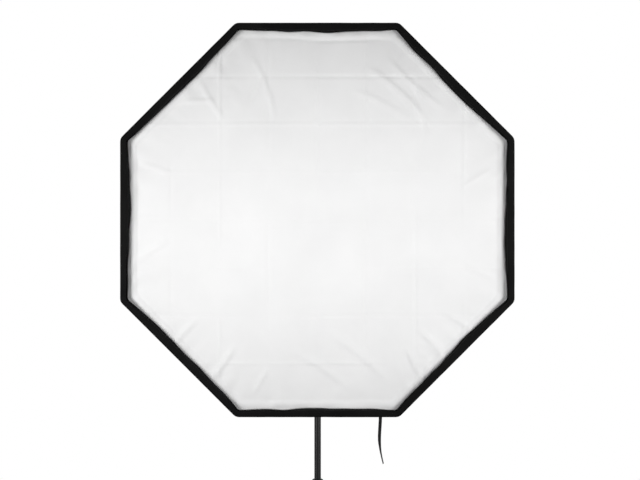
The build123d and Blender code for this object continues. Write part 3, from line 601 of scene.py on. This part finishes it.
BINDING_PROFILE = [
    (0.5930, 0.4135),
    (0.5962, 0.4165),
    (0.5985, 0.4200),
    (0.5996, 0.4238),
    (0.5990, 0.4275),
    (0.5965, 0.4296),
    (0.5925, 0.4298),
    (0.5880, 0.4292),
    (0.5835, 0.4296),
    (0.5808, 0.4286),
    (0.5797, 0.4262),
    (0.5796, 0.4235),
]
# The binding takes the black nylon with painted shade in its colour.
binding = octagon_band(
    "edge_binding", BINDING_PROFILE, binding_wave, CORNER_R, 60, BINDING_NYLON_PAINTED_SHADE
)
thicken(binding, 0.0010, 1.0)
finish_piece(binding, "softbox", "shell_cloth", "front_binding")

LIP_PROFILE = [
    (0.5800, 0.4262),
    (0.5782, 0.4180),
    (LIP_EDGE + 0.0004, DIFFUSER_DEPTH + 0.0022),
    (LIP_EDGE, DIFFUSER_DEPTH - 0.0006),
    (0.5718, 0.4040),
    (0.5680, 0.3980),
    (0.5632, 0.3905),
    (0.5600, 0.3850),
]
# The lip's cloth also takes the black nylon with painted shade in its colour.
lip = octagon_band("lip_cloth", LIP_PROFILE, lip_ripple, CORNER_R * 0.9, 60, BINDING_NYLON_PAINTED_SHADE)
thicken(lip, 0.0009, 1.0)
finish_piece(lip, "softbox", "shell_cloth", "lip_flap")

edge_pairs = []
edge_outs = []
EDGE_STITCHES = 118
for row_apothem in (0.5862, 0.5952):
    for side in range(SIDES):
        half = (row_apothem - CORNER_R) * math.tan(HALF_ANGLE)
        for i in range(EDGE_STITCHES):
            t = (2 * (i + 0.5) / EDGE_STITCHES - 1) * half
            turn = side * 2 * HALF_ANGLE
            ends = []
            for d in (-STITCH_LENGTH / 2, STITCH_LENGTH / 2):
                x = row_apothem * math.cos(turn) - (t + d) * math.sin(turn)
                y = row_apothem * math.sin(turn) + (t + d) * math.cos(turn)
                ends.append(place(x, y, BOX_DEPTH - 0.0004))
            edge_pairs.append(ends)
            edge_outs.append((0, -1, 0))
edge_thread = stitches("edge_thread", edge_pairs, edge_outs, STITCH_LENGTH, STITCH_WIDTH, THREAD)
finish_piece(edge_thread, "softbox", "shell_cloth")

# --- front diffuser ------------------------------------------------------------------------------
CLOTH_CELL = 0.0042
FOLD_X = 0.1495  # spacing of the creases from how it was folded in its bag
FOLD_Y = 0.1460
HEM_WIDTH = 0.022
HEM_STEP = 0.0036
GATHER_HEIGHT = 0.0048
CREASE_WIDTH = 0.0045
UPRIGHT_CREASE = 0.0034
LEVEL_CREASE = 0.0036
WRINKLE_LIFT = 2.0  # applied to the wrinkle heights below


def flat_octagon(apothem, cell):
    """(x, y) points and faces of an octagon cut from a square grid."""
    mesh = bmesh.new()
    count = max(2, int(2 * apothem / cell))
    bmesh.ops.create_grid(mesh, x_segments=count, y_segments=count, size=apothem)
    for side in (1, 3, 5, 7):
        normal = Vector((math.cos(side * math.pi / 4), math.sin(side * math.pi / 4), 0))
        geometry = mesh.verts[:] + mesh.edges[:] + mesh.faces[:]
        bmesh.ops.bisect_plane(
            mesh,
            geom=geometry,
            plane_co=normal * apothem,
            plane_no=normal,
            clear_outer=True,
            dist=1e-6,
        )
    bmesh.ops.remove_doubles(mesh, verts=mesh.verts[:], dist=cell * 0.08)
    mesh.verts.index_update()
    points = np.array([(v.co.x, v.co.y) for v in mesh.verts])
    faces = [[v.index for v in f.verts] for f in mesh.faces if f.calc_area() > 1e-10]
    mesh.free()
    return points, faces


def smooth_step(value, low, high):
    t = np.clip((value - low) / (high - low), 0, 1)
    return t * t * (3 - 2 * t)


def soft_noise(points, scale, seed):
    """Smooth noise over the points, about -1 to 1."""
    scaled = points * scale
    return np.array([noise.noise(Vector((x, y, seed * 3.7))) for x, y in scaled])


def to_edge(points, apothem):
    """Distance inwards from the octagon's edge."""
    turns = [k * math.pi / 4 for k in range(SIDES)]
    reach = np.max([points[:, 0] * math.cos(t) + points[:, 1] * math.sin(t) for t in turns], axis=0)
    return apothem - reach


def fold_line(points, start, end, height, width, bend=0.0):
    """A ridge of cloth from start to end, fading at both, bent sideways at its middle."""
    start, end = np.array(start), np.array(end)
    along = end - start
    length = np.linalg.norm(along)
    along = along / length
    side = np.array((-along[1], along[0]))
    t = (points - start) @ along / length
    d = (points - start) @ side - bend * 4 * t * (1 - t)
    fade = smooth_step(t, -0.05, 0.3) * (1 - smooth_step(t, 0.65, 1.05))
    return height * fade * np.exp(-((d / width) ** 2))


def crease_lines(points, axis, spacing, strengths, height, width, seed):
    """Straight creases across the cloth, each of its own strength, broken up along its length."""
    total = np.zeros(len(points))
    run = soft_noise(points, 5.0, seed)
    wander = 0.0022 * soft_noise(points, 3.0, seed + 1)
    for number, strength in strengths:
        d = points[:, axis] - number * spacing + wander
        ridge = np.exp(-np.abs(d) / width) - 0.35 * np.exp(-((d / (3.5 * width)) ** 2))
        total += strength * height * ridge * np.clip(0.6 + 1.3 * run, 0, 1.2)
    return total


def cloth_from_points(name, points, depth, faces, material, thickness):
    vertices = [place(x, y, v) for (x, y), v in zip(points, depth)]
    mesh = bpy.data.meshes.new(name)
    mesh.from_pydata(vertices, [], faces)
    layer = mesh.uv_layers.new(name="cloth")
    index = np.zeros(len(mesh.loops), dtype=int)
    mesh.loops.foreach_get("vertex_index", index)
    layer.data.foreach_set("uv", points[index].ravel())
    mesh.polygons.foreach_set("use_smooth", [True] * len(mesh.polygons))
    mesh.materials.append(material)
    piece = bpy.data.objects.new(name, mesh)
    bpy.context.collection.objects.link(piece)
    return thicken(piece, thickness, 0.0)


points, faces = flat_octagon(LIP_EDGE, CLOTH_CELL)
angle = np.arctan2(points[:, 1], points[:, 0])
radius = np.linalg.norm(points, axis=1)
sharp = np.array([octagon_radius(t, LIP_EDGE, 1e-6) for t in angle])
edge = np.array([octagon_radius(t, LIP_EDGE + lip_wave(t) - 0.0002, CORNER_R * 0.9) for t in angle])
pull = smooth_step(radius / sharp, 0.90, 1.0)
points = points * (1 + (edge / sharp - 1) * pull)[:, None]
inward = to_edge(points, LIP_EDGE)

drape = 0.0022 * soft_noise(points, 2.6, 1) + 0.0012 * soft_noise(points, 6.5, 2)
VERTICAL_FOLDS = [(-3, -0.7), (-2, 1.1), (-1, -0.5), (0, 0.5), (1, 0.8), (2, -0.9), (3, 0.8)]
LEVEL_FOLDS = [(-3, 0.9), (-2, -1.0), (-1, 0.35), (0, -0.3), (1, 0.35), (2, 0.8), (3, -0.9)]
drape += crease_lines(points, 0, FOLD_X, VERTICAL_FOLDS, UPRIGHT_CREASE, CREASE_WIDTH, 5)
drape += crease_lines(points, 1, FOLD_Y, LEVEL_FOLDS, LEVEL_CREASE, CREASE_WIDTH, 9)
WRINKLES = [
    ((0.15, 0.47), (0.36, 0.27), 0.0030, 0.010, 0.012),
    ((0.21, 0.50), (0.40, 0.33), 0.0024, 0.009, -0.010),
    ((0.28, 0.45), (0.33, 0.22), -0.0020, 0.012, 0.010),
    ((0.10, 0.40), (0.29, 0.30), 0.0016, 0.010, 0.008),
    ((-0.20, 0.50), (-0.13, 0.30), 0.0022, 0.009, 0.010),
    ((-0.16, 0.47), (-0.22, 0.33), -0.0014, 0.010, 0.0),
    ((-0.36, 0.43), (-0.28, 0.30), 0.0018, 0.009, -0.006),
    ((-0.42, 0.36), (-0.30, 0.36), 0.0014, 0.008, 0.004),
    ((0.30, -0.33), (0.41, -0.46), 0.0024, 0.010, 0.012),
    ((0.27, -0.38), (0.35, -0.52), 0.0022, 0.009, -0.008),
    ((0.38, -0.28), (0.50, -0.36), 0.0016, 0.008, 0.006),
    ((0.02, -0.34), (0.22, -0.50), 0.0022, 0.012, 0.014),
    ((-0.08, -0.40), (0.10, -0.52), 0.0018, 0.010, 0.010),
    ((-0.25, -0.38), (-0.34, -0.50), 0.0020, 0.009, 0.006),
    ((-0.36, -0.30), (-0.45, -0.40), 0.0018, 0.009, -0.006),
    ((-0.15, -0.45), (-0.20, -0.54), 0.0016, 0.008, 0.0),
    ((0.44, 0.10), (0.54, 0.16), 0.0014, 0.008, 0.0),
    ((-0.45, -0.06), (-0.55, -0.12), 0.0014, 0.008, 0.0),
    ((-0.44, 0.14), (-0.55, 0.18), 0.0012, 0.008, 0.0),
    ((0.45, -0.14), (0.55, -0.18), 0.0014, 0.009, 0.0),
    ((-0.26, 0.556), (-0.01, 0.552), -0.0022, 0.005, 0.004),
    ((-0.04, 0.549), (0.22, 0.556), -0.0016, 0.005, -0.003),
]
for start, end, height, width, bend in WRINKLES:
    drape += fold_line(points, start, end, WRINKLE_LIFT * height, width, bend)
CRUMPLES = [
    ((0.345, -0.43), 0.075, 0.0036),
    ((0.30, -0.47), 0.055, 0.0030),
    ((-0.27, 0.42), 0.080, 0.0016),
    ((-0.30, -0.46), 0.070, 0.0018),
    ((0.05, -0.53), 0.090, 0.0014),
]
rough_cloth = soft_noise(points, 19.0, 41) + 0.5 * soft_noise(points, 41.0, 43)
for middle, reach, height in CRUMPLES:
    away = np.linalg.norm(points - np.array(middle), axis=1)
    drape += height * rough_cloth * np.exp(-((away / reach) ** 2))
around = np.array([(math.cos(t), math.sin(t)) for t in angle])
gathers = soft_noise(around, 16.0, 21)
near = np.exp(-np.clip(inward - HEM_WIDTH, 0, None) / 0.035) * smooth_step(inward, 0.0, HEM_WIDTH)
drape += GATHER_HEIGHT * gathers * near
hem_line = HEM_WIDTH + 0.0022 * soft_noise(around, 16.0, 31)
drape += HEM_STEP * (1 - smooth_step(inward, hem_line - 0.0035, hem_line + 0.0035))
hold = smooth_step(inward, 0.0, 0.010)
depth = DIFFUSER_DEPTH + drape * (0.25 + 0.75 * hold)
depth = np.minimum(depth, BOX_DEPTH - 0.006)
diffuser = cloth_from_points("diffuser_cloth", points, depth, faces, WHITE_CLOTH, 0.0005)
finish_piece(diffuser, "softbox", "white_cloth", "front_diffuser")

# --- inner baffle --------------------------------------------------------------------------------
BAFFLE_HALF = 0.3195
points, faces = flat_octagon(BAFFLE_HALF, 0.009)
inward = to_edge(points, BAFFLE_HALF)
drape = 0.0030 * soft_noise(points, 4.0, 41) + 0.0010 * soft_noise(points, 13.0, 42)
drape += crease_lines(points, 0, 0.16, [(-1, 0.8), (0, 0.6), (1, -0.8)], 0.0014, 0.009, 45)
drape += crease_lines(points, 1, 0.16, [(-1, 0.8), (0, -0.6), (1, 0.8)], 0.0014, 0.009, 47)
drape *= smooth_step(inward, 0.0, 0.04)
baffle = cloth_from_points("baffle_cloth", points, BAFFLE_AT + drape, faces, BAFFLE_CLOTH, 0.0006)
finish_piece(baffle, "softbox", "white_cloth", "inner_baffle")
baffle_hem = octagon_band(
    "baffle_hem",
    [
        (BAFFLE_HALF - 0.012, BAFFLE_AT + 0.0012),
        (BAFFLE_HALF - 0.004, BAFFLE_AT + 0.0014),
        (BAFFLE_HALF, BAFFLE_AT + 0.0004),
        (BAFFLE_HALF - 0.004, BAFFLE_AT - 0.0008),
        (BAFFLE_HALF - 0.012, BAFFLE_AT - 0.0008),
    ],
    lambda k, a: (0.0003 * ripple(a, 30, k), 0.0002 * ripple(a, 40, k + 9)),
    0.006,
    24,
    HEM_CLOTH,
)
thicken(baffle_hem, 0.0006, 0.0)
finish_piece(baffle_hem, "softbox", "white_cloth")

band_vertices = []
band_faces = []
BAND_START = 0.324
BAND_HALF = 0.006
BAND_STEPS = 14
rod_phi = phi_at(SHELL_R - 0.0075, BAFFLE_AT)
BAND_END = on_arc(SHELL_R - 0.0085, rod_phi)[0] / math.cos(HALF_ANGLE)
for k in range(SIDES):
    turn = k * 2 * HALF_ANGLE + HALF_ANGLE
    base = len(band_vertices)
    for i in range(BAND_STEPS + 1):
        s = i / BAND_STEPS
        u = BAND_START + (BAND_END - BAND_START) * s
        width = BAND_HALF * (1 - 0.12 * math.sin(math.pi * s))
        lift = BAFFLE_AT + 0.0016 + 0.002 * s
        for w in (-width, 0.0, width):
            twist = 0.0006 * math.sin(3 * s + k) * w / BAND_HALF
            x = u * math.cos(turn) - w * math.sin(turn)
            y = u * math.sin(turn) + w * math.cos(turn)
            band_vertices.append(place(x, y, lift + twist))
    for i in range(BAND_STEPS):
        for j in range(2):
            a = base + i * 3 + j
            band_faces.append((a, a + 1, a + 4, a + 3))
mesh = bpy.data.meshes.new("baffle_elastic")
mesh.from_pydata(band_vertices, [], band_faces)
layer = mesh.uv_layers.new(name="cloth")
for loop in mesh.loops:
    i, j = divmod(loop.vertex_index % (3 * (BAND_STEPS + 1)), 3)
    layer.data[loop.index].uv = ((j - 1) * BAND_HALF, i / BAND_STEPS * (BAND_END - BAND_START))
mesh.polygons.foreach_set("use_smooth", [True] * len(mesh.polygons))
mesh.materials.append(ELASTIC)
elastic = bpy.data.objects.new("baffle_elastic", mesh)
bpy.context.collection.objects.link(elastic)
thicken(elastic, 0.0010, 0.0)
finish_piece(elastic, "softbox", "shell_cloth", "baffle_bands")

# --- rear cuff -----------------------------------------------------------------------------------
cuff = octagon_band(
    "cuff_cloth",
    [
        (0.0918, 0.0135),
        (0.0921, 0.0105),
        (0.0927, 0.0080),
        (0.0926, 0.0055),
        (0.0916, 0.0035),
        (0.0905, 0.0036),
    ],
    lambda k, a: (0.0006 * math.sin(a * 56 + k) * (k > 0), 0.0002 * math.sin(a * 31)),
    0.020,
    36,
    BLACK_NYLON,
)
thicken(cuff, 0.0008, 0.0)
finish_piece(cuff, "softbox", "shell_cloth", "rear_cuff")

# --- tie strap -----------------------------------------------------------------------------------
STRAP_STEPS = 90
strap_apothem, strap_depth = on_arc(SHELL_R, phi_at(SHELL_R, STRAP_AT))
STRAP_TOP = -strap_apothem - 0.0010
STRAP_ROUTE = [  # (length from the seam, x, twist in degrees from facing forward)
    (0.000, 0.1945, 4.0),
    (0.070, 0.1968, 12.0),
    (0.150, 0.1987, 28.0),
    (0.222, 0.1955, 36.0),
    (0.254, 0.1977, 60.0),
    (0.278, 0.2018, 72.0),
    (0.305, 0.2080, 76.0),
]


def route_at(length):
    """x and twist at a length along the strap, by a smooth curve through the route."""
    k = max(i for i, (at, _, _) in enumerate(STRAP_ROUTE[:-1]) if at <= length + 1e-9)
    before, a, b, after = (
        STRAP_ROUTE[min(max(i, 0), len(STRAP_ROUTE) - 1)] for i in (k - 1, k, k + 1, k + 2)
    )
    t = (length - a[0]) / (b[0] - a[0])
    values = []
    for j in (1, 2):
        m0 = (b[j] - before[j]) / max(b[0] - before[0], 1e-6) * (b[0] - a[0])
        m1 = (after[j] - a[j]) / max(after[0] - a[0], 1e-6) * (b[0] - a[0])
        values.append(
            (2 * t**3 - 3 * t**2 + 1) * a[j]
            + (t**3 - 2 * t**2 + t) * m0
            + (3 * t**2 - 2 * t**3) * b[j]
            + (t**3 - t**2) * m1
        )
    return values


rows = []
for i in range(STRAP_STEPS + 1):
    length = STRAP_LENGTH * 0.995 * i / STRAP_STEPS
    x, twist = route_at(length)
    turn = math.radians(twist)
    row = []
    for j in range(7):
        w = (j / 3 - 1) * STRAP_WIDTH / 2 * 0.96
        cup = 0.0004 * (abs(j / 3 - 1) ** 2)
        row.append(place(
            x + w * math.cos(turn) + cup * math.sin(turn),
            STRAP_TOP - length + 0.0012,
            strap_depth + 0.0008 - w * math.sin(turn) + 0.006 * math.sin(length * 9),
        ))
    rows.append(row)
strap = cloth_grid(
    "strap_webbing",
    rows,
    lambda r, c: ((c / 3 - 1) * STRAP_WIDTH / 2, r / STRAP_STEPS * STRAP_LENGTH),
    material=STRAP_WEBBING,
)
thicken(strap, 0.0013, 0.0)
finish_piece(strap, "softbox", "shell_cloth", "tie_strap")

# --- materials of the carried-over parts ---------------------------------------------------------
SLOT_MATERIALS = {
    "tube_coat": TUBE_COAT,
    "nylon_black": NYLON,
    "bright_steel": STEEL,
    "ring_alloy": RING_ALLOY,
    "rubber_black": RUBBER,
}
NODE_MATERIALS = {
    "bracket_frame": CAST,
    "tilt_knuckle": CAST,
    "lower_jaw": CAST,
    "upper_jaw": CAST,
    "top_bridge": CAST,
    "clamp_screw": KNOB_NYLON,
    "release_latch": KNOB_NYLON,
    "rotation_lock_screw": KNOB_NYLON,
    "leg_collar_knob": KNOB_NYLON,
    "lower_clamp_knob": KNOB_NYLON,
    "upper_clamp_knob": KNOB_NYLON,
    "spigot_lock_screw": KNOB_NYLON,
    "tilt_bolt": KNOB_NYLON,
}
slot_of = {part["node"]: part["material_slot"] for part in frame["record"]["subparts"]}
for name, node in frame["nodes"].items():
    if node.hide_render:
        continue
    material = NODE_MATERIALS.get(name) or SLOT_MATERIALS[slot_of[name]]
    if not node.material_slots:
        node.data.materials.append(material)
    for material_slot in node.material_slots:
        material_slot.material = material

# --- floor, light and sky ------------------------------------------------------------------------
FLOOR_RADIUS = 4.0
floor_shader = Shader("pale_floor", Roughness=0.6)
floor_shader.colour(floor_shader.noise(floor_shader.coords(), 2.0), grey(0.78), grey(0.82))
floor_shader.rough(floor_shader.noise(floor_shader.coords(), 20.0), 0.5, 0.65)
ring = [
    (FLOOR_RADIUS * math.cos(k * math.pi / 48), FLOOR_RADIUS * math.sin(k * math.pi / 48), 0.0)
    for k in range(96)
]
floor_mesh = bpy.data.meshes.new("floor")
floor_mesh.from_pydata(ring, [], [list(range(96))])
floor_mesh.materials.append(floor_shader.material)
floor = bpy.data.objects.new("floor", floor_mesh)
bpy.context.collection.objects.link(floor)


def soft_light(name, location, target, size, power, spread=180):
    data = bpy.data.lights.new(name, "AREA")
    data.shape = "RECTANGLE"
    data.size, data.size_y = size
    data.energy = power
    data.spread = math.radians(spread)
    light = bpy.data.objects.new(name, data)
    light.location = location
    aim = Vector(target) - Vector(location)
    light.rotation_euler = aim.to_track_quat("-Z", "Y").to_euler()
    bpy.context.collection.objects.link(light)


box_middle = (0.0, FRONT_Y, LAMP_Z - 0.05)
soft_light("left_light", (-1.85, FRONT_Y - 1.3, LAMP_Z - 0.08), box_middle, (1.0, 1.0), 6.7, 66)
soft_light("right_light", (1.95, FRONT_Y - 1.3, LAMP_Z - 0.08), box_middle, (1.0, 1.0), 6.3, 66)
soft_light("back_light", (-1.2, 3.4, 3.0), (0, 0, 1.4), (2.0, 2.0), 50)
soft_light("top_light", (0.6, 0.4, 4.6), (0, 0, 1.2), (2.2, 2.2), 36)

world = bpy.data.worlds.new("studio")
world.use_nodes = True
bpy.context.scene.world = world
tree = world.node_tree
background = tree.nodes["Background"]
background.inputs["Color"].default_value = (1.0, 1.0, 1.0, 1.0)
background.inputs["Strength"].default_value = 0.155
seen = tree.nodes.new("ShaderNodeBackground")
seen.inputs["Color"].default_value = (1.0, 1.0, 1.0, 1.0)
seen.inputs["Strength"].default_value = 1.0
path = tree.nodes.new("ShaderNodeLightPath")
mix = tree.nodes.new("ShaderNodeMixShader")
tree.links.new(path.outputs["Is Camera Ray"], mix.inputs["Fac"])
tree.links.new(background.outputs[0], mix.inputs[1])
tree.links.new(seen.outputs[0], mix.inputs[2])
tree.links.new(mix.outputs[0], tree.nodes["World Output"].inputs["Surface"])
bpy.context.scene.view_settings.view_transform = "Standard"
